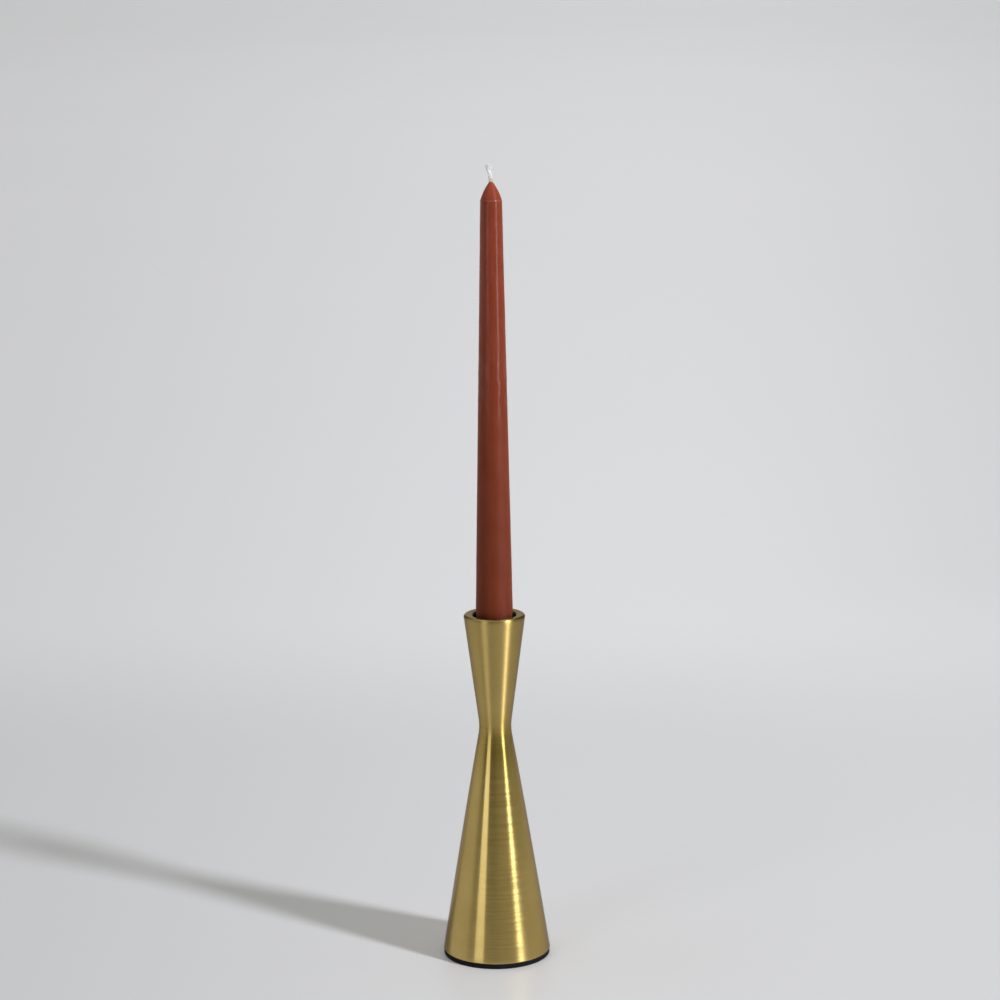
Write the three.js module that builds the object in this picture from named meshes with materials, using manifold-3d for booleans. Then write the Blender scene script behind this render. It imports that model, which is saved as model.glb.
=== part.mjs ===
// Turned brass candlestick with a tapered dinner candle. Millimetres, +Z up.
// The origin is the centre of the foot, on the surface that the candlestick stands on.
// Two brass cones meet at the waist. A threaded rod ties them together: it screws into the upper cone,
// runs down through the hollow lower cone, and a nut under a tapered iron weight draws everything tight.
import * as THREE from "three";
import { mergeVertices } from "three/addons/utils/BufferGeometryUtils.js";
import Module from "manifold-3d";

// Foot pad
const PAD_THICKNESS = 2.7;
const PAD_INSET = 0.3; // how far its edge stands in from the brass
const PAD_EDGE_ROUND = 0.4;

// Lower cone
const FOOT_DIAMETER = 60;
const FOOT_EDGE_ROUND = 0.6;
const LOWER_HEIGHT = 129.6;
const LOWER_CROWN = 0.24; // how far the wall swells out of straight
const CROWN_SHARE = 0.61; // how far up the wall it swells most
const LOWER_WALL = 4;
const NECK_LENGTH = 28; // solid metal between the waist and the hollow
const HOLLOW_CORNER = 2;

// Waist, where the upper cone's spigot sits in the lower cone
const WAIST_DIAMETER = 17.9;
const WAIST_SWEEP_RADIUS = 17;
const SPIGOT_WALL = 2.3; // metal round the rod's hole
const SPIGOT_LENGTH = 3;
const SPIGOT_CHAMFER = 0.5;

// Upper cone
const UPPER_HEIGHT = 63.7;
const LIP_WIDTH = 5.5; // from the socket's wall to the rim's edge
const LIP_ROUND = 1.4;
const LIP_DISH_DEGREES = 6; // the lip falls towards the socket by this much
const MOUTH_ROUND = 1.9;
const SOCKET_DIAMETER = 23;
const SOCKET_DEPTH = 22; // from the rim down to the socket's flat floor
const SOCKET_CORNER = 0.5;

// Tie rod and its fasteners
const ROD_DIAMETER = 6;
const ROD_ENGAGEMENT = 16; // length screwed into the upper cone
const ROD_CHAMFER = 0.8;
const ROD_PROUD = 1.5; // rod end standing out of the nut
const TAP_RUNOUT = 2; // hole left beyond the end of the rod
const DRILL_POINT_DEGREES = 118;
const NUT_WALL = 2; // metal round the thread at the flats
const NUT_HEIGHT = 5;
const NUT_CHAMFER_DEGREES = 30;
const WASHER_MARGIN = 4; // how far the washer reaches beyond the nut's flats
const WASHER_THICKNESS = 1.6;

// Ballast
const BALLAST_HEIGHT = 55;
const BALLAST_RECESS = 0.5; // how far it stays above the brass foot
const BALLAST_CHAMFER = 1;
const POCKET_CLEARANCE = 2; // round the washer, and below the rod's end

// Candle and wick
const CANDLE_LENGTH = 260;
const CANDLE_SHOULDER_DIAMETER = 11.85;
const CANDLE_FOOT_CHAMFER = 0.4;
const SHOULDER_ROUND = 0.2;
const TIP_LENGTH = 9.9;
const TIP_WALL = 0.2; // wax round the wick at the very top
const TIP_CROWN = 0.42; // how far the tip swells out of a straight cone
const WICK_DIAMETER = 1.5;
const WICK_STUB = 9.8;
const WICK_LEAN = 1.4; // sideways, towards -X
const WICK_LEAN_HEIGHT = 5; // the stub has leaned over this far up
const WICK_FLARE = 0.3; // the cut end opens by this much on the radius
const WICK_RECESS = 1; // how far the lower end stays inside the wax

// Clearances
const GLUE_GAP = 0.05;
const JOINT_GAP = 0.05;
const SEAT_GAP = 0.1;
const SPIGOT_GAP = 0.3;
const THREAD_GAP = 0.2;
const WEDGE_GAP = 0.2;
const CANDLE_GAP = 0.8;
const WICK_GAP = 0.1;

// Facets
const BODY_SIDES = 48;
const ROD_SIDES = 24;
const WICK_SIDES = 12;
const ARC_STEPS = 6;
const CURVE_STEPS = 10;

const DEGREE = Math.PI / 180;

// Levels, from the standing surface up
const footZ = PAD_THICKNESS + GLUE_GAP;
const waistZ = footZ + LOWER_HEIGHT;
const rimZ = waistZ + UPPER_HEIGHT;

// Radii
const footRadius = FOOT_DIAMETER / 2;
const waistRadius = WAIST_DIAMETER / 2;
const socketRadius = SOCKET_DIAMETER / 2;
const rimRadius = socketRadius + LIP_WIDTH;
const rodRadius = ROD_DIAMETER / 2;
const rodHoleRadius = rodRadius + THREAD_GAP;
const spigotRadius = rodHoleRadius + SPIGOT_WALL;
const nutFlatRadius = rodRadius + NUT_WALL;
const washerRadius = nutFlatRadius + WASHER_MARGIN;

const point = (r, z) => new THREE.Vector2(r, z);

// Points along an arc in the profile plane, both ends included.
function arc(centre, radius, fromAngle, toAngle, steps = ARC_STEPS) {
  const points = [];
  for (let i = 0; i <= steps; i++) {
    const angle = fromAngle + ((toAngle - fromAngle) * i) / steps;
    points.push(point(centre.x + radius * Math.cos(angle), centre.y + radius * Math.sin(angle)));
  }
  return points;
}

// The straight line that touches two circles, going from the first to the second.
// An offset is a circle's radius, positive where its centre lies to the right of the line.
function tangentLine(centreA, offsetA, centreB, offsetB) {
  const between = centreB.clone().sub(centreA);
  const angle = between.angle() + Math.asin((offsetB - offsetA) / between.length());
  const right = point(Math.sin(angle), -Math.cos(angle));
  return {
    angle,
    right,
    start: centreA.clone().addScaledVector(right, -offsetA),
    end: centreB.clone().addScaledVector(right, -offsetB),
  };
}

// A solid of revolution about Z from its profile, listed anticlockwise with r to the right and z up.
function revolve(profile, sides) {
  return new THREE.LatheGeometry(profile, sides).rotateX(Math.PI / 2);
}

const closed = (profile) => [...profile, profile[0].clone()];

// The waist's concave sweep is a circle outside the metal, narrowest at the waist.
const sweepCentre = point(waistRadius + WAIST_SWEEP_RADIUS, waistZ);
const footCentre = point(footRadius - FOOT_EDGE_ROUND, footZ + FOOT_EDGE_ROUND);
const lipCentre = point(rimRadius - LIP_ROUND, rimZ - LIP_ROUND);

// The lower wall without its crown, from the foot's rounded edge to the waist's sweep.
const lowerWall = tangentLine(footCentre, -FOOT_EDGE_ROUND, sweepCentre, WAIST_SWEEP_RADIUS);

// The hollow's straight inner wall runs one wall thickness inside it.
function hollowRadius(z) {
  const { start, end } = lowerWall;
  const share = (z - start.y) / (end.y - start.y);
  return THREE.MathUtils.lerp(start.x, end.x, share) - LOWER_WALL;
}

function footPad() {
  const radius = footRadius - PAD_INSET;
  const edge = point(radius - PAD_EDGE_ROUND, PAD_EDGE_ROUND);
  return revolve(
    [
      point(0, 0),
      ...arc(edge, PAD_EDGE_ROUND, -90 * DEGREE, 0),
      point(radius, PAD_THICKNESS),
      point(0, PAD_THICKNESS),
    ],
    BODY_SIDES,
  );
}

function lowerCone() {
  // The crowned wall is a curve whose control point lies out beyond the straight wall.
  const crownFoot = lowerWall.start.clone().lerp(lowerWall.end, CROWN_SHARE);
  const control = crownFoot.addScaledVector(lowerWall.right, 2 * LOWER_CROWN);
  const fromFoot = tangentLine(footCentre, -FOOT_EDGE_ROUND, control, 0);
  const toSweep = tangentLine(control, 0, sweepCentre, WAIST_SWEEP_RADIUS);
  const wall = new THREE.QuadraticBezierCurve(fromFoot.start, control, toSweep.end);

  const hollowTop = waistZ - NECK_LENGTH;
  const corner = point(hollowRadius(hollowTop) - HOLLOW_CORNER, hollowTop - HOLLOW_CORNER);
  const hollowSlope = lowerWall.angle - 90 * DEGREE;
  const recessRadius = spigotRadius + SPIGOT_GAP;
  const recessFloor = waistZ - SPIGOT_LENGTH - SEAT_GAP;
  return revolve(
    closed([
      point(hollowRadius(footZ), footZ),
      ...arc(footCentre, FOOT_EDGE_ROUND, -90 * DEGREE, fromFoot.angle - 90 * DEGREE),
      ...wall.getPoints(CURVE_STEPS).slice(1),
      ...arc(sweepCentre, WAIST_SWEEP_RADIUS, toSweep.angle + 90 * DEGREE, 180 * DEGREE).slice(1),
      point(recessRadius, waistZ),
      point(recessRadius, recessFloor),
      point(rodHoleRadius, recessFloor),
      point(rodHoleRadius, hollowTop),
      ...arc(corner, HOLLOW_CORNER, 90 * DEGREE, hollowSlope),
    ]),
    BODY_SIDES,
  );
}

function upperCone() {
  const jointZ = waistZ + JOINT_GAP;
  const wall = tangentLine(sweepCentre, WAIST_SWEEP_RADIUS, lipCentre, -LIP_ROUND);
  const jointAngle = Math.PI - Math.asin(JOINT_GAP / WAIST_SWEEP_RADIUS);
  const spigotEnd = waistZ - SPIGOT_LENGTH;
  const tapTop = waistZ + ROD_ENGAGEMENT + TAP_RUNOUT;
  const tapPoint = rodHoleRadius / Math.tan((DRILL_POINT_DEGREES / 2) * DEGREE);

  // The lip falls from its rounded crest to the mouth's rounded edge, then the socket's wall goes down.
  const dish = LIP_DISH_DEGREES * DEGREE;
  const mouthRadius = socketRadius + MOUTH_ROUND;
  const crest = point(lipCentre.x - LIP_ROUND * Math.sin(dish), lipCentre.y + LIP_ROUND * Math.cos(dish));
  const mouthTop = crest.y - (crest.x - mouthRadius + MOUTH_ROUND * Math.sin(dish)) * Math.tan(dish);
  const mouthCentre = point(mouthRadius, mouthTop - MOUTH_ROUND * Math.cos(dish));
  const socketFloor = rimZ - SOCKET_DEPTH;
  const cornerCentre = point(socketRadius - SOCKET_CORNER, socketFloor + SOCKET_CORNER);
  return revolve(
    [
      point(0, tapTop + tapPoint),
      point(rodHoleRadius, tapTop),
      point(rodHoleRadius, spigotEnd),
      point(spigotRadius - SPIGOT_CHAMFER, spigotEnd),
      point(spigotRadius, spigotEnd + SPIGOT_CHAMFER),
      point(spigotRadius, jointZ),
      ...arc(sweepCentre, WAIST_SWEEP_RADIUS, jointAngle, wall.angle + 90 * DEGREE),
      ...arc(lipCentre, LIP_ROUND, wall.angle - 90 * DEGREE, 90 * DEGREE + dish),
      ...arc(mouthCentre, MOUTH_ROUND, 90 * DEGREE + dish, 180 * DEGREE),
      ...arc(cornerCentre, SOCKET_CORNER, 0, -90 * DEGREE),
      point(0, socketFloor),
    ],
    BODY_SIDES,
  );
}

// The nut's pocket in the ballast, from the washer's seat down
const ballastZ = footZ + BALLAST_RECESS;
const pocketDepth = WASHER_THICKNESS + NUT_HEIGHT + ROD_PROUD + POCKET_CLEARANCE;
const washerTop = ballastZ + pocketDepth - SEAT_GAP;
const nutTop = washerTop - WASHER_THICKNESS - SEAT_GAP;
const rodEnd = nutTop - NUT_HEIGHT - ROD_PROUD;

function ballast() {
  const top = ballastZ + BALLAST_HEIGHT;
  const outside = (z) => hollowRadius(z) - WEDGE_GAP;
  const pocketRadius = washerRadius + POCKET_CLEARANCE;
  return revolve(
    closed([
      point(pocketRadius, ballastZ),
      point(outside(ballastZ) - BALLAST_CHAMFER, ballastZ),
      point(outside(ballastZ + BALLAST_CHAMFER), ballastZ + BALLAST_CHAMFER),
      point(outside(top - BALLAST_CHAMFER), top - BALLAST_CHAMFER),
      point(outside(top) - BALLAST_CHAMFER, top),
      point(rodHoleRadius, top),
      point(rodHoleRadius, ballastZ + pocketDepth),
      point(pocketRadius, ballastZ + pocketDepth),
    ]),
    BODY_SIDES,
  );
}

function tieRod() {
  const top = waistZ + ROD_ENGAGEMENT;
  return revolve(
    [
      point(0, rodEnd),
      point(rodRadius - ROD_CHAMFER, rodEnd),
      point(rodRadius, rodEnd + ROD_CHAMFER),
      point(rodRadius, top - ROD_CHAMFER),
      point(rodRadius - ROD_CHAMFER, top),
      point(0, top),
    ],
    ROD_SIDES,
  );
}

function flatWasher() {
  const bottom = washerTop - WASHER_THICKNESS;
  return revolve(
    closed([
      point(rodHoleRadius, bottom),
      point(washerRadius, bottom),
      point(washerRadius, washerTop),
      point(rodHoleRadius, washerTop),
    ]),
    ROD_SIDES,
  );
}

const wasm = await Module();
wasm.setup();

// A closed geometry as a solid for cutting and joining.
function solid(geometry) {
  const bare = geometry.clone();
  bare.deleteAttribute("normal");
  bare.deleteAttribute("uv");
  const merged = mergeVertices(bare, 1e-3);
  return new wasm.Manifold(
    new wasm.Mesh({
      numProp: 3,
      vertProperties: merged.getAttribute("position").array,
      triVerts: new Uint32Array(merged.index.array),
    }),
  );
}

// A solid back as a geometry.
function geometryOf(shape) {
  const mesh = shape.getMesh();
  return new THREE.BufferGeometry()
    .setAttribute("position", new THREE.BufferAttribute(mesh.vertProperties, 3))
    .setIndex(new THREE.BufferAttribute(mesh.triVerts, 1));
}

// A hexagon whose corners are turned off to the chamfer angle at both ends.
function hexNut() {
  const bottom = nutTop - NUT_HEIGHT;
  const cornerRadius = nutFlatRadius / Math.cos(30 * DEGREE);
  const hexagon = new THREE.Shape(arc(point(0, 0), cornerRadius, 0, 300 * DEGREE, 5));
  hexagon.holes.push(new THREE.Path().absarc(0, 0, rodHoleRadius, 0, 2 * Math.PI));
  const prism = new THREE.ExtrudeGeometry(hexagon, {
    depth: NUT_HEIGHT,
    bevelEnabled: false,
    curveSegments: ROD_SIDES,
  }).translate(0, 0, bottom);
  const chamferHeight = (cornerRadius - nutFlatRadius) * Math.tan(NUT_CHAMFER_DEGREES * DEGREE);
  const turned = revolve(
    [
      point(0, bottom),
      point(nutFlatRadius, bottom),
      point(cornerRadius, bottom + chamferHeight),
      point(cornerRadius, nutTop - chamferHeight),
      point(nutFlatRadius, nutTop),
      point(0, nutTop),
    ],
    2 * ROD_SIDES,
  );
  return geometryOf(solid(prism).intersect(solid(turned)));
}

// The candle stands on the socket's floor.
const candleRadius = socketRadius - CANDLE_GAP;
const candleZ = rimZ - SOCKET_DEPTH + SEAT_GAP;
const candleTop = candleZ + CANDLE_LENGTH;

function candle() {
  const boreRadius = WICK_DIAMETER / 2 + WICK_GAP;
  const shoulder = point(CANDLE_SHOULDER_DIAMETER / 2 - SHOULDER_ROUND, candleTop - TIP_LENGTH);
  const foot = point(candleRadius, candleZ + CANDLE_FOOT_CHAMFER);
  const tip = point(boreRadius + TIP_WALL, candleTop);
  const swell = point(tip.y - shoulder.y, shoulder.x - tip.x).normalize();
  const control = shoulder.clone().lerp(tip, 0.5).addScaledVector(swell, 2 * TIP_CROWN);
  const taper = tangentLine(foot, 0, shoulder, -SHOULDER_ROUND);
  const toTip = tangentLine(shoulder, -SHOULDER_ROUND, control, 0);
  const ogive = new THREE.QuadraticBezierCurve(toTip.start, control, tip);
  return revolve(
    closed([
      point(boreRadius, candleZ),
      point(candleRadius - CANDLE_FOOT_CHAMFER, candleZ),
      foot,
      ...arc(shoulder, SHOULDER_ROUND, taper.angle - 90 * DEGREE, toTip.angle - 90 * DEGREE),
      ...ogive.getPoints(ARC_STEPS).slice(1),
      point(boreRadius, candleTop),
    ]),
    BODY_SIDES,
  );
}

// A straight cord up through the wax. Its stub leans over and opens out at the cut end.
function wick() {
  const radius = WICK_DIAMETER / 2;
  const bottom = candleZ + WICK_RECESS;
  const stub = Array.from({ length: CURVE_STEPS + 1 }, (_, i) => {
    const share = i / CURVE_STEPS;
    return point(radius + WICK_FLARE * share ** 3, candleTop + WICK_STUB * share);
  });
  const cord = revolve(
    [point(0, bottom), point(radius, bottom), ...stub, point(0, candleTop + WICK_STUB)],
    WICK_SIDES,
  );
  const position = cord.getAttribute("position");
  for (let i = 0; i < position.count; i++) {
    const leaned = THREE.MathUtils.smoothstep(position.getZ(i), candleTop, candleTop + WICK_LEAN_HEIGHT);
    position.setX(i, position.getX(i) - WICK_LEAN * leaned);
  }
  return cord;
}

const brass = new THREE.MeshStandardMaterial({ color: 0xb8964f, roughness: 0.32, metalness: 1 });
const steel = new THREE.MeshStandardMaterial({ color: 0xa9abad, roughness: 0.4, metalness: 1 });
const iron = new THREE.MeshStandardMaterial({ color: 0x3d3c3b, roughness: 0.7, metalness: 0.8 });
const rubber = new THREE.MeshStandardMaterial({ color: 0x141416, roughness: 0.9, metalness: 0 });
const wax = new THREE.MeshStandardMaterial({ color: 0x8a3b26, roughness: 0.45, metalness: 0 });
const cotton = new THREE.MeshStandardMaterial({ color: 0xefe9df, roughness: 0.95, metalness: 0 });

function piece(name, geometry, material) {
  const mesh = new THREE.Mesh(geometry, material);
  mesh.name = name;
  return mesh;
}

const holder = new THREE.Group();
holder.add(
  piece("foot_pad", footPad(), rubber),
  piece("lower_cone", lowerCone(), brass),
  piece("upper_cone", upperCone(), brass),
  piece("tie_rod", tieRod(), steel),
  piece("ballast", ballast(), iron),
  piece("flat_washer", flatWasher(), steel),
  piece("hex_nut", hexNut(), steel),
);

const dinnerCandle = new THREE.Group();
dinnerCandle.add(piece("candle", candle(), wax), piece("wick", wick(), cotton));

const candlestick = new THREE.Group();
candlestick.add(holder, dinnerCandle);

export default candlestick;
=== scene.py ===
"""The look of a turned brass candlestick and its dinner candle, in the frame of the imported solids."""
import functools
import math
import random
from collections import namedtuple

import bmesh
import bpy
from mathutils import Matrix, Vector, noise


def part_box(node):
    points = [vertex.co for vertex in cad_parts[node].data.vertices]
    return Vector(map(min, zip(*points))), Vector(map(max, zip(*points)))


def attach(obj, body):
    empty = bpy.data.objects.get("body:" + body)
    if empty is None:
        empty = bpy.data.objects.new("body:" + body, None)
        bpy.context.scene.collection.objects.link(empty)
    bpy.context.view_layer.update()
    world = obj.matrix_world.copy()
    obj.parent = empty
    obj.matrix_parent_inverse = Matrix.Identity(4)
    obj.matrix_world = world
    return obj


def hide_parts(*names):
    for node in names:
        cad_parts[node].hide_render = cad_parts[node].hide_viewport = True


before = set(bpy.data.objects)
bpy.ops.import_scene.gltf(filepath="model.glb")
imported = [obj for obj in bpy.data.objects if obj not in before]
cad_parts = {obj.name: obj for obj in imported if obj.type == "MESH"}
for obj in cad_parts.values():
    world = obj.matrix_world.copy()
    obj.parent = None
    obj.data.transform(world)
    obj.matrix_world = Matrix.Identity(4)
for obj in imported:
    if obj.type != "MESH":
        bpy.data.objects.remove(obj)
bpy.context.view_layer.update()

MM = 0.001


def levels(node):
    """The lowest and highest level of a solid in the frame, in millimetres."""
    low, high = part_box(node)
    return low.z / MM, high.z / MM


# Levels of the solids
PAD_THICKNESS = levels("foot_pad")[1]
FOOT_Z, WAIST_Z = levels("lower_cone")
SPIGOT_END, RIM_Z = levels("upper_cone")
ROD_BOTTOM, ROD_TOP = levels("tie_rod")
CANDLE_Z, CANDLE_TOP = levels("candle")
WICK_BOTTOM, WICK_END = levels("wick")

# Sizes in millimetres, as in the solids where no comment says otherwise
PAD_RADIUS = 29.7
PAD_EDGE_ROUND = 0.4
PAD_TOP_ROUND = 0.15

FOOT_RADIUS = 29.99  # a hair inside the solid
FOOT_EDGE_ROUND = 0.6
WAIST_RADIUS = 9.0  # 8.95 in the solids
WAIST_SWEEP_RADIUS = 30  # 17 in the solids, whose walls this leaves by 0.2 at most
LOWER_CROWN = 0.24
CROWN_SHARE = 0.61
LOWER_WALL = 3.9  # 4 in the solids
NECK_LENGTH = 28
HOLLOW_CORNER = 2
ROD_HOLE_RADIUS = 3.2
SPIGOT_RADIUS = 5.5
SPIGOT_GAP = 0.3
SPIGOT_CHAMFER = 0.5
SEAT_GAP = 0.1
JOINT_GAP = 0.05
JOINT_BREAK = 0.02  # the broken edges that meet at the waist

RIM_RADIUS = 17
LIP_ROUND = 1.4
LIP_DISH_DEGREES = 6
MOUTH_ROUND = 1.9
SOCKET_RADIUS = 11.5
SOCKET_CORNER = 0.5
TAP_RUNOUT = 2
DRILL_POINT_DEGREES = 118

ROD_RADIUS = 3
ROD_CHAMFER = 0.8
THREAD_PITCH = 1
THREAD_DEPTH = 0.61
THREAD_FLAT = 0.15  # how much of a flank its crest and its root each cut off
ROWS_PER_PITCH = 6

CANDLE_RADIUS = 10.7
CANDLE_FOOT_ROUND = 0.4
SHOULDER_RADIUS = 5.925
SHOULDER_ROUND = 0.3  # 0.2 in the solids
TIP_LENGTH = 9.9
TIP_RADIUS = 1.05
TIP_CROWN = 0.56  # 0.42 in the solids
WICK_BORE_RADIUS = 0.85
WICK_RADIUS = 0.75
WICK_LEAN = 1.4
WICK_LEAN_HEIGHT = 8.5  # 5 in the solids

HOLLOW_TOP = WAIST_Z - NECK_LENGTH
RECESS_FLOOR = SPIGOT_END - SEAT_GAP
SOCKET_FLOOR = CANDLE_Z - SEAT_GAP
TAP_TOP = ROD_TOP + TAP_RUNOUT
SHOULDER_Z = CANDLE_TOP - TIP_LENGTH
WICK_STUB = WICK_END - CANDLE_TOP

BODY_SIDES = 192
CANDLE_SIDES = 128
ROD_SIDES = 24


# Profiles

Tangent = namedtuple("Tangent", "angle right start end")


def point(r, z):
    return Vector((r, z))


def spread(start, end, steps):
    """Evenly spaced numbers, both ends included."""
    return [start + (end - start) * i / steps for i in range(steps + 1)]


def clamped(value):
    return min(1, max(0, value))


def eased(t):
    """A smooth change from 0 to 1."""
    return t * t * (3 - 2 * t)


def arc(centre, radius, start, end, steps=10):
    """Points along an arc of a profile, with its angles in degrees."""
    turns = [math.radians(a) for a in spread(start, end, steps)]
    return [centre + radius * point(math.cos(a), math.sin(a)) for a in turns]


def straight(start, end, steps):
    return [start.lerp(end, t) for t in spread(0, 1, steps)]


def bend(start, control, end, steps):
    """A curve that leaves start towards control and arrives at end from there."""
    return [start.lerp(control, t).lerp(control.lerp(end, t), t) for t in spread(0, 1, steps)]


def tangent_line(centre_a, offset_a, centre_b, offset_b):
    """The line that touches two circles. An offset is positive where the centre is right of the line."""
    between = centre_b - centre_a
    angle = math.atan2(between.y, between.x) + math.asin((offset_b - offset_a) / between.length)
    right = point(math.sin(angle), -math.cos(angle))
    return Tangent(math.degrees(angle), right, centre_a - offset_a * right, centre_b - offset_b * right)


def on_line(line, z):
    """The point of a tangent line at a level."""
    return line.start.lerp(line.end, (z - line.start.y) / (line.end.y - line.start.y))


# Meshes


def polar(radius, angle, z):
    """A point in metres from a radius and height in millimetres."""
    return Vector((radius * math.cos(angle), radius * math.sin(angle), z)) * MM


def add_faces(bm, rings):
    """Joins each ring of vertices to the next. A ring of one vertex lies on the axis."""
    for low, high in zip(rings, rings[1:]):
        sides = max(len(low), len(high))
        for i in range(sides):
            j = (i + 1) % sides
            corners = [low[i % len(low)], low[j % len(low)], high[j % len(high)], high[i % len(high)]]
            bm.faces.new(list(dict.fromkeys(corners)))


def mesh_object(name, bm, sharp_degrees=30):
    mesh = bpy.data.meshes.new(name)
    bm.to_mesh(mesh)
    bm.free()
    mesh.shade_smooth()
    mesh.set_sharp_from_angle(angle=math.radians(sharp_degrees))
    piece = bpy.data.objects.new(name, mesh)
    bpy.context.scene.collection.objects.link(piece)
    return piece


def lathe(name, profile, sides, closed=False, radius_at=None):
    """A body turned about Z from a profile in millimetres, anticlockwise with r to the right and z up.

    The attribute turned is the distance along the profile, which the turning tool travelled.
    """
    bm = bmesh.new()
    turned = bm.verts.layers.float.new("turned")
    rings, travel, last = [], 0.0, profile[0]
    for at in profile:
        travel += (at - last).length
        last = at
        if at.x < 1e-6:
            ring = [bm.verts.new(polar(0, 0, at.y))]
        else:
            turns = [2 * math.pi * i / sides for i in range(sides)]
            radii = [radius_at(a, at.x, at.y) if radius_at else at.x for a in turns]
            ring = [bm.verts.new(polar(r, a, at.y)) for r, a in zip(radii, turns)]
        for vertex in ring:
            vertex[turned] = travel
        rings.append(ring)
    add_faces(bm, rings + rings[:1] if closed else rings)
    return mesh_object(name, bm)


def add_tube(bm, path, radii, sides):
    """A closed round tube along a path in metres."""
    rings, across = [], Vector((0, 1, 0))
    for i, (centre, radius) in enumerate(zip(path, radii)):
        ahead = (path[min(i + 1, len(path) - 1)] - path[max(i - 1, 0)]).normalized()
        across = (across - across.dot(ahead) * ahead).normalized()
        up = ahead.cross(across)
        turns = [2 * math.pi * k / sides for k in range(sides)]
        spokes = [math.cos(a) * across + math.sin(a) * up for a in turns]
        rings.append([bm.verts.new(centre + radius * spoke) for spoke in spokes])
    add_faces(bm, rings)
    bm.faces.new(rings[0][::-1])
    bm.faces.new(rings[-1])


# Pieces

sweep_centre = point(WAIST_RADIUS + WAIST_SWEEP_RADIUS, WAIST_Z)
foot_centre = point(FOOT_RADIUS - FOOT_EDGE_ROUND, FOOT_Z + FOOT_EDGE_ROUND)
lip_centre = point(RIM_RADIUS - LIP_ROUND, RIM_Z - LIP_ROUND)
lower_wall = tangent_line(foot_centre, -FOOT_EDGE_ROUND, sweep_centre, WAIST_SWEEP_RADIUS)


def foot_pad():
    low = point(PAD_RADIUS - PAD_EDGE_ROUND, PAD_EDGE_ROUND)
    high = point(PAD_RADIUS - PAD_TOP_ROUND, PAD_THICKNESS - PAD_TOP_ROUND)
    profile = [
        point(0, 0),
        *straight(point(2, 0), point(low.x, 0), 12)[:-1],
        *arc(low, PAD_EDGE_ROUND, -90, 0, 8),
        *arc(high, PAD_TOP_ROUND, 0, 90, 5),
        point(0, PAD_THICKNESS),
    ]
    return lathe("rubber_foot_pad", profile, BODY_SIDES)


def hollow_radius(z):
    """The hollow's straight wall inside the lower cone."""
    return on_line(lower_wall, z).x - LOWER_WALL


def lower_cone():
    control = lower_wall.start.lerp(lower_wall.end, CROWN_SHARE) + lower_wall.right * 2 * LOWER_CROWN
    from_foot = tangent_line(foot_centre, -FOOT_EDGE_ROUND, control, 0)
    to_sweep = tangent_line(control, 0, sweep_centre, WAIST_SWEEP_RADIUS)
    joint_turn = 180 + math.degrees(math.asin(JOINT_BREAK / WAIST_SWEEP_RADIUS))
    corner = point(hollow_radius(HOLLOW_TOP) - HOLLOW_CORNER, HOLLOW_TOP - HOLLOW_CORNER)
    recess_radius = SPIGOT_RADIUS + SPIGOT_GAP
    profile = [
        point(hollow_radius(FOOT_Z), FOOT_Z),
        *arc(foot_centre, FOOT_EDGE_ROUND, -90, from_foot.angle - 90),
        *bend(from_foot.start, control, to_sweep.end, 90)[1:],
        *arc(sweep_centre, WAIST_SWEEP_RADIUS, to_sweep.angle + 90, joint_turn, 16)[1:],
        point(WAIST_RADIUS - JOINT_BREAK, WAIST_Z),
        point(recess_radius, WAIST_Z),
        point(recess_radius, RECESS_FLOOR),
        point(ROD_HOLE_RADIUS, RECESS_FLOOR),
        point(ROD_HOLE_RADIUS, HOLLOW_TOP),
        *arc(corner, HOLLOW_CORNER, 90, lower_wall.angle - 90),
    ]
    return lathe("brass_lower_cone", profile, BODY_SIDES, closed=True)


def upper_cone():
    wall = tangent_line(sweep_centre, WAIST_SWEEP_RADIUS, lip_centre, -LIP_ROUND)
    joint_z = WAIST_Z + JOINT_GAP
    joint_turn = 180 - math.degrees(math.asin((JOINT_GAP + JOINT_BREAK) / WAIST_SWEEP_RADIUS))
    tap_point = ROD_HOLE_RADIUS / math.tan(math.radians(DRILL_POINT_DEGREES / 2))
    dish = math.radians(LIP_DISH_DEGREES)
    crest = lip_centre + LIP_ROUND * point(-math.sin(dish), math.cos(dish))
    mouth_radius = SOCKET_RADIUS + MOUTH_ROUND
    mouth_top = crest.y - (crest.x - mouth_radius + MOUTH_ROUND * math.sin(dish)) * math.tan(dish)
    mouth_centre = point(mouth_radius, mouth_top - MOUTH_ROUND * math.cos(dish))
    corner = point(SOCKET_RADIUS - SOCKET_CORNER, SOCKET_FLOOR + SOCKET_CORNER)
    lip = arc(lip_centre, LIP_ROUND, wall.angle - 90, 90 + LIP_DISH_DEGREES, 14)
    mouth = arc(mouth_centre, MOUTH_ROUND, 90 + LIP_DISH_DEGREES, 180, 10)
    socket = arc(corner, SOCKET_CORNER, 0, -90, 6)
    profile = [
        point(0, TAP_TOP + tap_point),
        point(ROD_HOLE_RADIUS, TAP_TOP),
        point(ROD_HOLE_RADIUS, SPIGOT_END),
        point(SPIGOT_RADIUS - SPIGOT_CHAMFER, SPIGOT_END),
        point(SPIGOT_RADIUS, SPIGOT_END + SPIGOT_CHAMFER),
        point(SPIGOT_RADIUS, joint_z),
        point(WAIST_RADIUS - JOINT_BREAK, joint_z),
        *arc(sweep_centre, WAIST_SWEEP_RADIUS, joint_turn, wall.angle + 90, 16),
        *straight(wall.start, wall.end, 30)[1:-1],
        *lip,
        *straight(lip[-1], mouth[0], 6)[1:-1],
        *mouth,
        *straight(mouth[-1], socket[0], 16)[1:-1],
        *socket,
        point(0, SOCKET_FLOOR),
    ]
    return lathe("brass_upper_cone", profile, BODY_SIDES)


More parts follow.
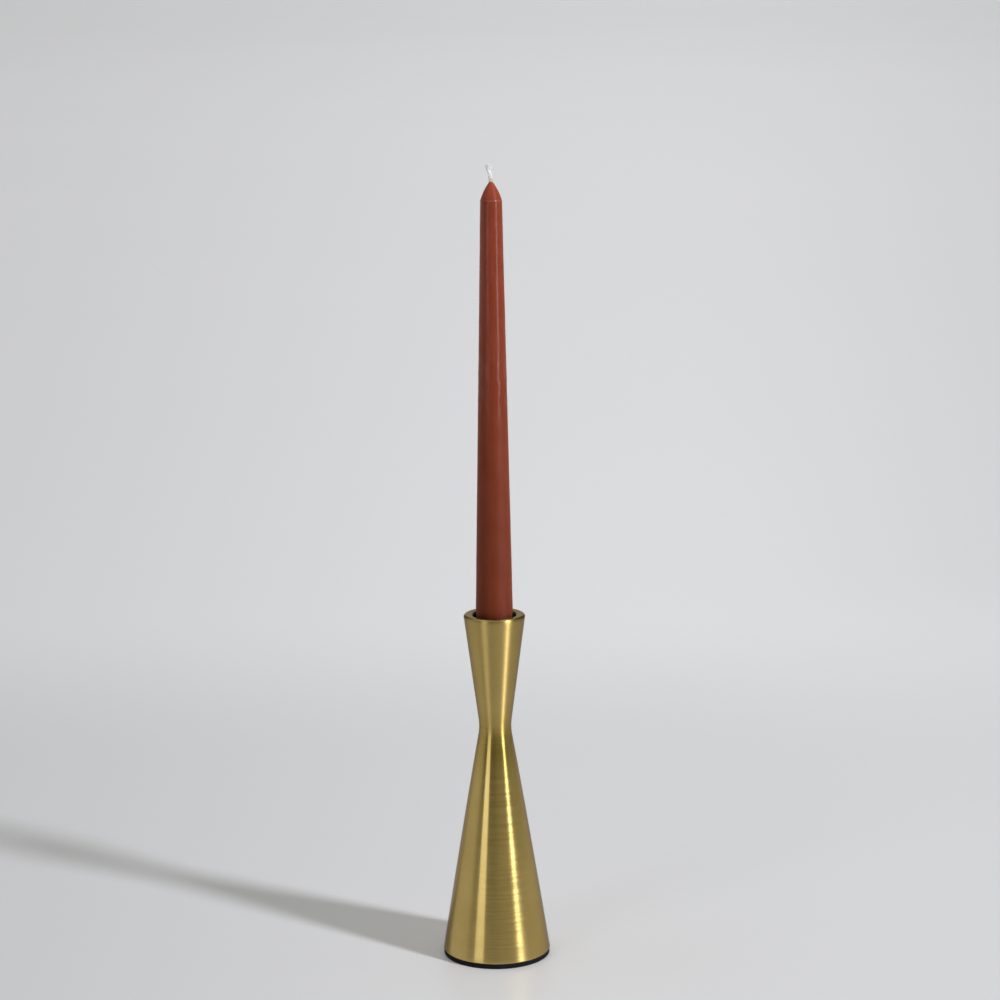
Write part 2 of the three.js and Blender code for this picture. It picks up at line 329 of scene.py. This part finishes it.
def tie_rod():
    """A rod with a rolled 60 degree thread along its whole length."""

    def thread(angle, radius, z):
        phase = (z / THREAD_PITCH - angle / (2 * math.pi)) % 1
        flank = clamped(abs(2 * phase - 1) * (1 + 2 * THREAD_FLAT) - THREAD_FLAT)
        return min(radius, ROD_RADIUS - THREAD_DEPTH * flank)

    rows = round((ROD_TOP - ROD_BOTTOM) * ROWS_PER_PITCH / THREAD_PITCH)
    heights = spread(ROD_BOTTOM, ROD_TOP, rows)
    ends = [min(z - ROD_BOTTOM, ROD_TOP - z, ROD_CHAMFER) - ROD_CHAMFER for z in heights]
    wall = [point(ROD_RADIUS + end, z) for z, end in zip(heights, ends)]
    profile = [point(0, ROD_BOTTOM), *wall, point(0, ROD_TOP)]
    return lathe("threaded_tie_rod", profile, ROD_SIDES, radius_at=thread)


# Rings that the mould left in the wax: height from the shoulder, depth and half width.
# The first stands proud.
WAX_RINGS = [(0.05, -0.06, 0.25), (-4.1, 0.06, 0.25), (-1.9, 0.03, 0.2), (0.9, 0.04, 0.2), (1.9, 0.03, 0.2)]
WAX_WAVES = [(0.055, 16, 7), (0.03, 7, 4)]  # height, length along the candle and across it
WAVE_FADE = 4  # the waves die out over this much radius towards the tip
WAVE_START = 9.7  # where in the noise they begin
RING_REACH = 10  # how far below the shoulder the wax is meshed finely
NICK_TURN, NICK_Z, NICK_SIZE, NICK_DEPTH = -64, 197.6, 0.7, 0.3
NICK_REACH = 4  # how far above and below it the wax is meshed finely
FOOT_PINCH, PINCH_START, PINCH_LENGTH = 0.45, 3.5, 5  # the wax draws in from just above the rim
LUMPY_LOW, LUMPY_HIGH, LUMPY_FADE = 305, 344, 8  # where the wax is lumpy
LUMP_HEIGHT, LUMP_LENGTH, LUMP_WIDTH = 0.15, 5.0, 3.0


def wax_radius(angle, radius, z):
    """The candle's radius, which its waves, lumps, rings, nick and pinch change."""
    if radius <= TIP_RADIUS:
        return radius
    pinch = clamped((RIM_Z + PINCH_START - z) / PINCH_LENGTH)
    out = Vector((math.cos(angle), math.sin(angle), 0)) * radius
    fade = min(1, (radius - TIP_RADIUS) / WAVE_FADE)
    for height, along, across in WAX_WAVES:
        radius += fade * height * noise.noise(out / across + Vector((0, 0, z / along + WAVE_START)))
    lumpy = clamped(min(z - LUMPY_LOW, LUMPY_HIGH - z) / LUMPY_FADE)
    if lumpy:
        lump = noise.noise(out / LUMP_WIDTH + Vector((0, 0, z / LUMP_LENGTH)))
        radius += lumpy * LUMP_HEIGHT * lump
    for offset, depth, half in WAX_RINGS:
        radius -= depth * math.exp(-(((z - SHOULDER_Z - offset) / half) ** 2))
    aside = math.remainder(angle - math.radians(NICK_TURN), 2 * math.pi) * radius
    reach = math.hypot(aside, z - NICK_Z) / NICK_SIZE
    return radius + NICK_DEPTH * math.exp(-(reach**2)) - FOOT_PINCH * eased(pinch)


def candle():
    """Moulded wax: never quite round or straight, with ring marks near its shoulder."""
    shoulder = point(SHOULDER_RADIUS - SHOULDER_ROUND, SHOULDER_Z)
    foot = point(CANDLE_RADIUS, CANDLE_Z + CANDLE_FOOT_ROUND)
    tip = point(TIP_RADIUS, CANDLE_TOP)
    outward = point(tip.y - shoulder.y, shoulder.x - tip.x).normalized()
    control = shoulder.lerp(tip, 0.5) + outward * 2 * TIP_CROWN
    taper = tangent_line(foot, 0, shoulder, -SHOULDER_ROUND)
    to_tip = tangent_line(shoulder, -SHOULDER_ROUND, control, 0)
    rows = [  # levels, and the rows of faces from each to the next
        (foot.y, 6), (NICK_Z - NICK_REACH, 44), (NICK_Z + NICK_REACH, 58), (LUMPY_LOW, 70),
        (LUMPY_HIGH, 40), (SHOULDER_Z - RING_REACH, 66), (taper.end.y, 0),
    ]
    wall = []
    for (low, count), (high, _) in zip(rows, rows[1:]):
        wall += [on_line(taper, z) for z in spread(low, high, count)[1:]]
    profile = [
        point(WICK_BORE_RADIUS, CANDLE_Z),
        *arc(foot - point(CANDLE_FOOT_ROUND, 0), CANDLE_FOOT_ROUND, -90, 0, 5),
        *wall,
        *arc(shoulder, SHOULDER_ROUND, taper.angle - 90, to_tip.angle - 90, 10)[1:],
        *bend(to_tip.start, control, tip, 70)[1:],
        point(WICK_BORE_RADIUS, CANDLE_TOP),
    ]
    return lathe("wax_candle", profile, CANDLE_SIDES, closed=True, radius_at=wax_radius)


BRAID_WIDTH, BRAID_DEPTH, BRAID_PITCH, STRAND_RADIUS = 0.55, 0.28, 4.6, 0.58
STRAND_FLARE = 0.35  # how much thicker a strand is at its end
STRAND_ROOT = 1  # how far a strand reaches down into the wax
FRAY_HEIGHT = 3.2  # from here up the strands come apart
FRAY_CURVE, BRAID_LOOSENING = 1.2, 0.6
STRANDS = [(-0.6, 0.3, 0.9), (-0.1, -0.3, 0.4), (0.4, 0.1, 0.7)]  # sideways, back, and short of the end
CORD_DEPTH = 0.6  # the plain cord ends this far below the candle's tip
FIBRES_PER_STRAND, FIBRE_RADIUS, FIBRE_SPLAY, FIBRE_SPREAD = 70, 0.13, 0.55, 0.4
FIBRE_START, FIBRE_RISE = (0.4, 3.2), (1.2, 2.2)  # below the strand's end, and up from there
FIBRE_CURVE, FIBRE_TAPER, FIBRE_SEED = 1.6, 0.6, 11
FIBRE_ROOM = 0.1  # left free below the wick's end
CORD_SIDES, STRAND_SIDES, FIBRE_SIDES = 16, 10, 5
CORD_STEPS, STRAND_STEPS, FIBRE_STEPS = 20, 40, 8


def wick_line(height):
    """The wick's middle at a height above the candle's tip, in millimetres."""
    t = clamped(height / WICK_LEAN_HEIGHT)
    return Vector((-WICK_LEAN * eased(t), 0, CANDLE_TOP + height))


def strand_point(strand, height):
    """The middle of one of the braid's strands at a height above the candle's tip."""
    aside, back, _ = STRANDS[strand]
    turn = 2 * math.pi * (height / BRAID_PITCH + strand / len(STRANDS))
    braid = Vector((BRAID_WIDTH * math.sin(turn), BRAID_DEPTH * math.sin(2 * turn), 0))
    open_end = max(0, (height - FRAY_HEIGHT) / (WICK_STUB - FRAY_HEIGHT))
    apart = Vector((aside, back, 0)) * open_end**FRAY_CURVE
    return wick_line(height) + braid * (1 - BRAID_LOOSENING * open_end) + apart


def add_fibre(bm, draw, strand, top):
    """A fibre that stands out of the end of a strand."""
    start = top - draw.uniform(*FIBRE_START)
    root = Vector((draw.gauss(0, FIBRE_SPREAD), draw.gauss(0, FIBRE_SPREAD), 0))
    lean = Vector((draw.gauss(0, FIBRE_SPLAY), draw.gauss(0, FIBRE_SPLAY), 0))
    rise = min(draw.uniform(*FIBRE_RISE), WICK_STUB - FIBRE_ROOM - start)
    foot = strand_point(strand, start) + root
    steps = spread(0, 1, FIBRE_STEPS)
    points = [foot + lean * t**FIBRE_CURVE + Vector((0, 0, rise * t)) for t in steps]
    radii = [FIBRE_RADIUS * (1 - FIBRE_TAPER * t) * MM for t in steps]
    add_tube(bm, [p * MM for p in points], radii, FIBRE_SIDES)


def wick():
    """A cord in the wax, whose stub shows a three strand braid that frays at the cut end."""
    draw = random.Random(FIBRE_SEED)
    bm = bmesh.new()
    core = [Vector((0, 0, z)) * MM for z in spread(WICK_BOTTOM, CANDLE_TOP - CORD_DEPTH, CORD_STEPS)]
    add_tube(bm, core, [WICK_RADIUS * MM] * len(core), CORD_SIDES)
    for strand, (_, _, short) in enumerate(STRANDS):
        top = WICK_STUB - short
        heights = spread(-STRAND_ROOT, top, STRAND_STEPS)
        radii = [STRAND_RADIUS * (1 + STRAND_FLARE * max(0, h / top) ** 2) * MM for h in heights]
        add_tube(bm, [strand_point(strand, h) * MM for h in heights], radii, STRAND_SIDES)
        for _ in range(FIBRES_PER_STRAND):
            add_fibre(bm, draw, strand, top)
    return mesh_object("cotton_wick", bm, sharp_degrees=60)


# Materials


class Nodes:
    """A tree whose nodes are added one by one."""

    def __init__(self, tree):
        self.tree = tree
        tree.nodes.clear()

    def add(self, kind, inputs=None, **settings):
        node = self.tree.nodes.new(kind)
        for key, value in settings.items():
            setattr(node, key, value)
        for key, value in (inputs or {}).items():
            if isinstance(value, bpy.types.NodeSocket):
                self.tree.links.new(value, node.inputs[key])
            else:
                node.inputs[key].default_value = value
        return node

    def ramp(self, value, low, high, to_low, to_high):
        """value from low to high, as a smooth change from to_low to to_high."""
        inputs = {0: value, 1: low, 2: high, 3: to_low, 4: to_high}
        return self.add("ShaderNodeMapRange", inputs, interpolation_type="SMOOTHSTEP").outputs[0]

    def ramp_mm(self, value, low, high, to_low, to_high):
        """A ramp between levels or radii that are given in millimetres."""
        return self.ramp(value, low * MM, high * MM, to_low, to_high)

    def math(self, operation, a, b):
        return self.add("ShaderNodeMath", {0: a, 1: b}, operation=operation).outputs[0]

    def total(self, *values):
        return functools.reduce(lambda a, b: self.math("ADD", a, b), values)

    def product(self, *values):
        return functools.reduce(lambda a, b: self.math("MULTIPLY", a, b), values)

    def mix(self, share, a, b, blend="MIX"):
        inputs = {0: share, 6: a, 7: b}
        return self.add("ShaderNodeMix", inputs, data_type="RGBA", blend_type=blend).outputs[2]

    def tint(self, colour, tone):
        return self.mix(1.0, colour, tone, "MULTIPLY")


class Surface(Nodes):
    """A material and its nodes."""

    def __init__(self, name):
        self.material = bpy.data.materials.new(name)
        self.material.use_nodes = True
        super().__init__(self.material.node_tree)

    def place(self):
        return self.add("ShaderNodeTexCoord").outputs["Object"]

    def axes(self):
        return self.add("ShaderNodeSeparateXYZ", {0: self.place()}).outputs

    def round_axis(self):
        """The direction of the gloss on a turned body."""
        return self.add("ShaderNodeTangent", direction_type="RADIAL", axis="Z").outputs[0]

    def noise(self, factors, detail=2.0, roughness=0.5):
        """Noise that repeats about as often in a metre as the factors say."""
        at = self.add("ShaderNodeVectorMath", {0: self.place(), 1: factors}, operation="MULTIPLY")
        return self.noise_at(at.outputs[0], detail, roughness)

    def noise_at(self, vector, detail, roughness=0.5):
        inputs = {"Vector": vector, "Scale": 1.0, "Detail": detail, "Roughness": roughness}
        return self.add("ShaderNodeTexNoise", inputs).outputs[0]

    def bump(self, height, distance, normal=None):
        inputs = {"Height": height, "Distance": distance}
        if normal:
            inputs["Normal"] = normal
        return self.add("ShaderNodeBump", inputs).outputs[0]

    def finish(self, **inputs):
        named = {key.replace("_", " "): value for key, value in inputs.items()}
        shader = self.add("ShaderNodeBsdfPrincipled", named)
        out = self.add("ShaderNodeOutputMaterial", {"Surface": shader.outputs[0]})
        out.is_active_output = True
        return self.material


def rgb(r, g, b):
    return (r, g, b, 1.0)


def turned_lines(s, arc_length, pitch):
    """Noise in long thin arcs round the axis, as a turning tool or abrasive leaves, in millimetres."""
    per_metre = (1000 / arc_length, 1000 / arc_length, 0)
    around = s.add("ShaderNodeVectorMath", {0: s.place(), 1: per_metre}, operation="MULTIPLY").outputs[0]
    travel = s.add("ShaderNodeAttribute", attribute_name="turned").outputs["Fac"]
    along = s.add("ShaderNodeCombineXYZ", {"Z": s.product(travel, 1 / pitch)}).outputs[0]
    at = s.add("ShaderNodeVectorMath", {0: around, 1: along}, operation="ADD").outputs[0]
    return s.noise_at(at, 2.0)


FINE_LINES, COARSE_LINES, BANDS = (9, 0.22), (26, 1.1), (90, 7)  # length and pitch in millimetres
FINE_DEPTH, COARSE_DEPTH = 0.000005, 0.000009  # in metres
BRASS, DEEP_BRASS = rgb(0.63, 0.46, 0.15), rgb(0.605, 0.435, 0.137)
# The second tone is painted shade for the brass below the waist.
GROOVE_TONE, WAIST_SHADE_TONE = rgb(0.9, 0.89, 0.87), rgb(0.83, 0.81, 0.68)
# painted shade for the brass inside the socket
SOCKET_SHADE_COLOUR = rgb(0.12, 0.075, 0.025)


def coarse_lines(s, height):
    """The tool's coarser lines, plain near the foot and faint at the waist."""
    strength = s.product(
        s.ramp_mm(height, FOOT_Z + 20, FOOT_Z + 75, 2.6, 1.0),
        s.ramp_mm(height, WAIST_Z - 45, WAIST_Z - 12, 1.0, 0.1),
    )
    lines = s.math("SUBTRACT", turned_lines(s, *COARSE_LINES), 0.5)
    return s.total(s.product(lines, strength), 0.5)


def brass_colour(s, height, radius, lines, fine):
    """Brass with darker grooves, painted shade below the waist and painted shade in the socket."""
    clouds = s.noise((45, 45, 30), 3.0)
    colour = s.mix(s.ramp(clouds, 0.35, 0.7, 0, 1), BRASS, DEEP_BRASS)
    ridges = s.ramp(s.total(s.product(lines, 0.6), s.product(fine, 0.4)), 0.3, 0.7, 0, 1)
    colour = s.mix(ridges, s.tint(colour, GROOVE_TONE), colour)
    colour = s.tint(colour, s.ramp_mm(height, WAIST_Z, WAIST_Z + 16, 1.0, 0.9))
    colour = s.tint(colour, s.ramp_mm(height, FOOT_Z, FOOT_Z + 45, 0.92, 1.0))
    # Painted shade: the brass is darkened below the waist, standing in for the darker reflections in its
    # hollow.
    waist_shade_share = s.product(
        s.ramp_mm(height, WAIST_Z - 32, WAIST_Z - 8, 0, 1),
        s.ramp_mm(height, WAIST_Z, WAIST_Z + 16, 1, 0),
    )
    colour = s.mix(waist_shade_share, colour, s.tint(colour, WAIST_SHADE_TONE))
    # Painted shade: the brass inside the socket and at the mouth's inner edge is darkened, where it lies in
    # shade.
    socket_shade_share = s.product(
        s.ramp_mm(radius, SOCKET_RADIUS + 0.2, SOCKET_RADIUS + 1.2, 1, 0),
        s.ramp_mm(height, SOCKET_FLOOR - 3, SOCKET_FLOOR - 1, 0, 1),
    )
    return s.mix(socket_shade_share, colour, SOCKET_SHADE_COLOUR)


def brass_roughness(s, height, radius, lines):
    """Glossier on the lower cone and on top of the lip, duller on the upper cone and the lip's edge."""
    on_lip = s.product(
        s.ramp_mm(height, RIM_Z - 1.4, RIM_Z - 0.5, 0, 1),
        s.ramp_mm(radius, RIM_RADIUS - LIP_ROUND, RIM_RADIUS - 0.6, 1, 0),
    )
    lip_edge = s.product(
        s.ramp_mm(radius, RIM_RADIUS - 0.9, RIM_RADIUS - 0.4, 0, 0.08),
        s.ramp_mm(height, RIM_Z - 3, RIM_Z - 1.6, 0, 1),
    )
    return s.total(
        s.ramp(lines, 0.3, 0.7, -0.025, 0.025),
        s.ramp(turned_lines(s, *BANDS), 0.3, 0.7, -0.012, 0.012),
        s.ramp_mm(height, WAIST_Z - 14, WAIST_Z + 6, 0.24, 0.37),
        s.ramp_mm(height, FOOT_Z, FOOT_Z + 70, -0.035, 0),
        s.product(on_lip, -0.1),
        lip_edge,
    )


def turned_brass():
    s = Surface("turned_brass")
    x, y, height = s.axes()
    radius = s.math("SQRT", s.total(s.product(x, x), s.product(y, y)), 0)
    fine, lines = turned_lines(s, *FINE_LINES), coarse_lines(s, height)
    return s.finish(
        Base_Color=brass_colour(s, height, radius, lines, fine), Metallic=1.0,
        Roughness=brass_roughness(s, height, radius, lines), Anisotropic=0.92, Anisotropic_Rotation=0.25,
        Tangent=s.round_axis(), Normal=s.bump(fine, FINE_DEPTH, s.bump(lines, COARSE_DEPTH)),
        Coat_Weight=0.35, Coat_Roughness=0.12, Coat_IOR=1.5, Specular_Tint=rgb(0.45, 0.4, 0.42),
    )


def pad_rubber():
    s = Surface("pad_rubber")
    grain = s.noise((2600, 2600, 2600), 3.0)
    dust = s.noise((260, 260, 260), 4.0)
    colour = s.mix(s.ramp(dust, 0.45, 0.75, 0, 1), rgb(0.004, 0.0046, 0.006), rgb(0.009, 0.0098, 0.012))
    return s.finish(
        Base_Color=colour, Roughness=s.ramp(grain, 0.3, 0.7, 0.6, 0.78), Normal=s.bump(grain, 0.00006),
        Specular_IOR_Level=0.15,
    )


WAX, PALE_WAX, WAX_BLOOM = rgb(0.176, 0.028, 0.007), rgb(0.19, 0.034, 0.011), rgb(0.205, 0.06, 0.036)
LOW_WAX_TONE, HIGH_WAX_TONE = rgb(0.93, 0.92, 0.88), rgb(1.42, 1.44, 1.9)
# The second colour is a painted highlight on the shoulder's edge.
TIP_WAX, SHOULDER_HIGHLIGHT_WAX = rgb(0.37, 0.066, 0.038), rgb(0.52, 0.23, 0.17)
# how dark the wax is painted at the socket's mouth, as painted shade
WAX_MOUTH_SHADE_TONE = 0.5


def wax_colour(s, height):
    """Dyed wax: redder upwards, with bloom, painted shade in a dark ring at the socket's mouth and a
    painted highlight on the shoulder.
    """
    clouds, drawn = s.noise((110, 110, 60), 3.0), s.noise((700, 700, 28))
    colour = s.mix(s.ramp(clouds, 0.35, 0.7, 0, 1), WAX, PALE_WAX)
    colour = s.mix(s.ramp(drawn, 0.45, 0.8, 0, 0.2), colour, WAX_BLOOM)
    up = s.ramp_mm(height, RIM_Z, SHOULDER_Z, 0, 1)
    colour = s.tint(colour, s.mix(up, LOW_WAX_TONE, HIGH_WAX_TONE))
    # Painted shade: the wax is darkened in a ring at the socket's mouth, where the lip shades it.
    painted_mouth_shade = s.math(
        "MAXIMUM",
        s.ramp_mm(height, RIM_Z - 1.6, RIM_Z + 1.6, WAX_MOUTH_SHADE_TONE, 1),
        s.ramp_mm(height, RIM_Z - 5, RIM_Z - 3, 1, WAX_MOUTH_SHADE_TONE),
    )
    colour = s.tint(colour, painted_mouth_shade)
    in_tip = s.product(
        s.ramp_mm(height, SHOULDER_Z, CANDLE_TOP + 2, 0.25, 1),
        s.ramp_mm(height, SHOULDER_Z - 0.1, SHOULDER_Z + 0.2, 0, 1),
    )
    colour = s.mix(in_tip, colour, TIP_WAX)
    # Painted highlight: a pale ring on the shoulder's edge, where the light glints.
    painted_shoulder_highlight = s.product(
        s.ramp_mm(height, SHOULDER_Z - 0.3, SHOULDER_Z + 0.1, 0, 1),
        s.ramp_mm(height, SHOULDER_Z + 0.2, SHOULDER_Z + 0.6, 1, 0),
        s.ramp(clouds, 0.4, 0.6, 0.0, 0.35),
    )
    return s.mix(painted_shoulder_highlight, colour, SHOULDER_HIGHLIGHT_WAX)


def wax_roughness(s, height, lumps, pores):
    """Matt low down, satin towards the shoulder and where the wax is lumpy, matt again on the tip."""
    lumpy = s.product(
        s.ramp_mm(height, LUMPY_LOW, LUMPY_LOW + LUMPY_FADE, 0, 1),
        s.ramp_mm(height, LUMPY_HIGH - LUMPY_FADE, LUMPY_HIGH, 1, 0),
    )
    return s.total(
        s.ramp(lumps, 0.3, 0.7, -0.06, 0.06),
        s.ramp(pores, 0.3, 0.7, -0.025, 0.025),
        s.ramp_mm(height, RIM_Z + 50, RIM_Z + 195, 0.95, 0.34),
        s.ramp_mm(height, SHOULDER_Z - 0.6, SHOULDER_Z - 0.2, 0.0, -0.14),
        s.ramp_mm(height, SHOULDER_Z + 0.3, SHOULDER_Z + 1, 0.0, 0.42),
        s.product(lumpy, -0.15),
    )


def candle_wax():
    s = Surface("candle_wax")
    height = s.axes()[2]
    lumps, pores = s.noise((260, 260, 150)), s.noise((1900, 1900, 1300))
    return s.finish(
        Base_Color=wax_colour(s, height), Roughness=wax_roughness(s, height, lumps, pores),
        Normal=s.bump(pores, 0.000012, s.bump(lumps, 0.00012)), IOR=1.44, Specular_IOR_Level=0.34,
        Anisotropic=0.95, Anisotropic_Rotation=0.25, Tangent=s.round_axis(), Subsurface_Weight=0.3,
        Subsurface_Radius=(1.0, 0.3, 0.15), Subsurface_Scale=0.003,
        Sheen_Weight=0.2, Sheen_Roughness=0.4, Sheen_Tint=rgb(1.0, 0.9, 0.88),
    )


def wick_cotton():
    """Cotton, soaked with wax where it leaves the candle."""
    s = Surface("wick_cotton")
    fibres = s.noise((5200, 5200, 1500), 3.0)
    soaked = s.ramp_mm(s.axes()[2], CANDLE_TOP - 0.5, CANDLE_TOP + 4.2, 0.85, 0.0)
    cotton = s.mix(s.ramp(fibres, 0.3, 0.7, 0, 1), rgb(0.9, 0.89, 0.88), rgb(0.97, 0.97, 0.965))
    return s.finish(
        Base_Color=s.mix(soaked, cotton, rgb(0.62, 0.36, 0.27)), Normal=s.bump(fibres, 0.00008),
        Roughness=s.ramp(soaked, 0.0, 0.85, 0.9, 0.5), Sheen_Weight=0.3, Sheen_Roughness=0.5,
    )


def plated_steel():
    s = Surface("plated_steel")
    crystals = s.noise((900, 900, 900), 3.0)
    stain = s.noise((160, 160, 160), 3.0)
    colour = s.mix(s.ramp(stain, 0.35, 0.7, 0, 1), rgb(0.56, 0.57, 0.58), rgb(0.47, 0.47, 0.45))
    return s.finish(
        Base_Color=colour, Metallic=1.0, Roughness=s.ramp(crystals, 0.3, 0.7, 0.3, 0.45),
        Normal=s.bump(crystals, 0.00002),
    )


def ballast_iron():
    s = Surface("ballast_iron")
    sand = s.noise((1300, 1300, 1300), 4.0, 0.6)
    scale = s.noise((140, 140, 140), 4.0)
    colour = s.mix(s.ramp(scale, 0.4, 0.65, 0, 1), rgb(0.055, 0.053, 0.052), rgb(0.105, 0.078, 0.06))
    return s.finish(
        Base_Color=colour, Metallic=0.7, Roughness=s.ramp(sand, 0.3, 0.7, 0.62, 0.85),
        Normal=s.bump(sand, 0.0003),
    )


FLOOR_GLOSS, FLOOR_MATT = 0.42, 1.0  # roughness
FAN_WIDENING, FAN_LEAST = 0.64, 0.5  # how the tones from left to right widen with each metre back
RIGHT_SLANT = 0.18


def painted_floor_light(s, across, back, rightwards):
    """Painted light and shade on the floor: darker to the left, paler from the sweep back, darker far off,
    far to the right and well in front.
    """
    widening = s.math("MAXIMUM", s.total(s.product(back, FAN_WIDENING), 1.0), FAN_LEAST)
    fan = s.math("DIVIDE", across, widening)
    far = s.ramp(back, 0.4, 1.0, 0, 1)
    near_right = s.product(s.ramp(fan, 0.06, 0.28, 0, 0.035), s.math("SUBTRACT", 1.0, far))
    far_right = s.product(s.ramp(fan, 0.1, 0.36, 0, -0.1), far)
    outside = s.math(
        "MINIMUM", s.ramp(back, -1.1, -0.45, 0.35, 1.0), s.ramp(rightwards, 0.32, 0.85, 1.0, 0.43)
    )
    return [
        s.ramp(fan, -0.36, 0.1, 0.835, 1.005),
        s.total(1.0, s.total(near_right, far_right)),
        s.ramp(back, 0.38, 0.82, 0.99, 1.135),
        s.ramp(back, 5.0, 17.0, 1.0, 0.92),
        outside,
    ]


def studio_floor():
    """Pale paper with a soft gloss and painted light and shade in its tones, matt well in front and far to
    the right.
    """
    s = Surface("studio_floor")
    across, back, _ = s.axes()
    rightwards = s.math("SUBTRACT", across, s.product(back, RIGHT_SLANT))
    wide = s.noise((0.6, 0.6, 0.6))
    colour = s.mix(s.ramp(wide, 0.3, 0.7, 0, 1), rgb(0.783, 0.783, 0.8), rgb(0.791, 0.79, 0.806))
    # These tones are painted light and shade, not the paper's own colour.
    for tone in painted_floor_light(s, across, back, rightwards):
        colour = s.tint(colour, tone)
    rough = s.math(
        "MAXIMUM",
        s.ramp(back, -0.75, -0.4, FLOOR_MATT, FLOOR_GLOSS),
        s.ramp(rightwards, 0.42, 0.8, FLOOR_GLOSS, FLOOR_MATT),
    )
    return s.finish(Base_Color=colour, Roughness=rough, Specular_IOR_Level=0.35)


# The object


def dress(piece, material, body, node):
    piece.data.materials.append(material)
    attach(piece, body)
    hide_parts(node)


brass, steel = turned_brass(), plated_steel()
dress(foot_pad(), pad_rubber(), "holder", "foot_pad")
dress(lower_cone(), brass, "holder", "lower_cone")
dress(upper_cone(), brass, "holder", "upper_cone")
dress(tie_rod(), steel, "holder", "tie_rod")
dress(candle(), candle_wax(), "candle", "candle")
dress(wick(), wick_cotton(), "candle", "wick")
for node, material in (("ballast", ballast_iron()), ("flat_washer", steel), ("hex_nut", steel)):
    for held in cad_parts[node].material_slots:
        held.material = material


# The studio

FLOOR_REACH = 60.0
KEY_TURN, KEY_RISE, KEY_WIDTH, KEY_STRENGTH = 55.6, 28.0, 7.0, 2.75  # degrees right of the camera, and up
BOX_TURN, BOX_DISTANCE, BOX_WIDTH, BOX_HEIGHT, BOX_RADIANCE = -39.0, 1.8, 0.63, 1.5, 1.9
BOX_LIFT = 0.02  # its lower edge above the floor
BOX_COLOUR = (0.95, 0.98, 1.06)
KEY_COLOUR = (0.985, 1.0, 1.06)
KEY_DISTANCE = 3.0
ROOM_DARK = 0.05
ROOM_WARMTH = (1.0, 0.96, 0.45, 1.0)  # the colour of its dark parts
WARM_BELOW, PLAIN_ABOVE = 0.05, 0.5  # brightness
# Where the room is bright: degrees right of the camera and up, degrees off that side where the light
# ends and where it is full, and how bright it is
ROOM_BRIGHT = [
    (-162, 81, 44, 14, 1.16),
    (180, 14, 26, 11, 0.5),
    (-96, 14, 35, 21, 0.42),
    (95, 14, 28, 12, 0.17),
    (20, 14, 24, 8, 0.11),
]


def towards(turn, rise):
    """The direction from the object that lies turn degrees right of the camera and rise degrees up."""
    a, e = math.radians(turn), math.radians(rise)
    return Vector((math.sin(a) * math.cos(e), -math.cos(a) * math.cos(e), math.sin(e)))


def floor():
    bm = bmesh.new()
    corners = [(-1, -1), (1, -1), (1, 1), (-1, 1)]
    bm.faces.new([bm.verts.new((x * FLOOR_REACH, y * FLOOR_REACH, 0)) for x, y in corners])
    plane = mesh_object("floor", bm)
    plane.data.materials.append(studio_floor())


def lamp(name, kind, place, back, **settings):
    """A lamp at a place, shining away from the direction back."""
    data = bpy.data.lights.new(name, kind)
    for key, value in settings.items():
        setattr(data, key, value)
    light = bpy.data.objects.new(name, data)
    light.location = place
    light.rotation_mode = "QUATERNION"
    light.rotation_quaternion = back.to_track_quat("Z", "Y")
    light.visible_camera = False
    bpy.context.scene.collection.objects.link(light)


def lamps():
    key = towards(KEY_TURN, KEY_RISE)
    width = math.radians(KEY_WIDTH)
    lamp("key", "SUN", key * KEY_DISTANCE, key, energy=KEY_STRENGTH, angle=width, color=KEY_COLOUR)
    side = towards(BOX_TURN, 0)
    middle = side * BOX_DISTANCE + Vector((0, 0, BOX_HEIGHT / 2 + BOX_LIFT))
    power = BOX_RADIANCE * math.pi * BOX_WIDTH * BOX_HEIGHT
    size = dict(shape="RECTANGLE", size=BOX_WIDTH, size_y=BOX_HEIGHT)
    lamp("box", "AREA", middle, side, energy=power, color=BOX_COLOUR, **size)


def room():
    """Dark and warm round about, bright overhead and softly brighter on some sides."""
    world = bpy.data.worlds.new("room")
    bpy.context.scene.world = world
    world.use_nodes = True
    n = Nodes(world.node_tree)
    at = n.add("ShaderNodeTexCoord").outputs["Generated"]
    brightness = ROOM_DARK
    for turn, rise, reach, full, most in ROOM_BRIGHT:
        inputs = {0: at, 1: towards(turn, rise)}
        side = n.add("ShaderNodeVectorMath", inputs, operation="DOT_PRODUCT").outputs["Value"]
        lobe = n.ramp(side, math.cos(math.radians(reach)), math.cos(math.radians(full)), 0, most)
        brightness = n.total(lobe, brightness)
    inputs = {0: brightness, 1: WARM_BELOW, 2: PLAIN_ABOVE}
    plain = n.add("ShaderNodeMapRange", inputs).outputs[0]
    colour = n.mix(plain, ROOM_WARMTH, rgb(1, 1, 1))
    light = n.add("ShaderNodeBackground", {"Color": colour, "Strength": brightness})
    n.add("ShaderNodeOutputWorld", {"Surface": light.outputs[0]})


CAMERA_PLACE = (3.6, -1559.5, 571.3)
CAMERA_DOWN, CAMERA_ROLL = 11.284, -0.425
LENS, SENSOR = 104.38, 36.0


def camera():
    data = bpy.data.cameras.new("camera")
    data.sensor_width, data.lens = SENSOR, LENS
    data.clip_start, data.clip_end = 0.05, 200.0
    eye = bpy.data.objects.new("camera", data)
    tilt = Matrix.Rotation(math.radians(90 - CAMERA_DOWN), 4, "X")
    roll = Matrix.Rotation(math.radians(CAMERA_ROLL), 4, "Z")
    eye.matrix_world = Matrix.Translation(Vector(CAMERA_PLACE) * MM) @ tilt @ roll
    bpy.context.scene.collection.objects.link(eye)
    bpy.context.scene.camera = eye


floor()
lamps()
room()
camera()
bpy.context.scene.view_settings.view_transform = "Standard"
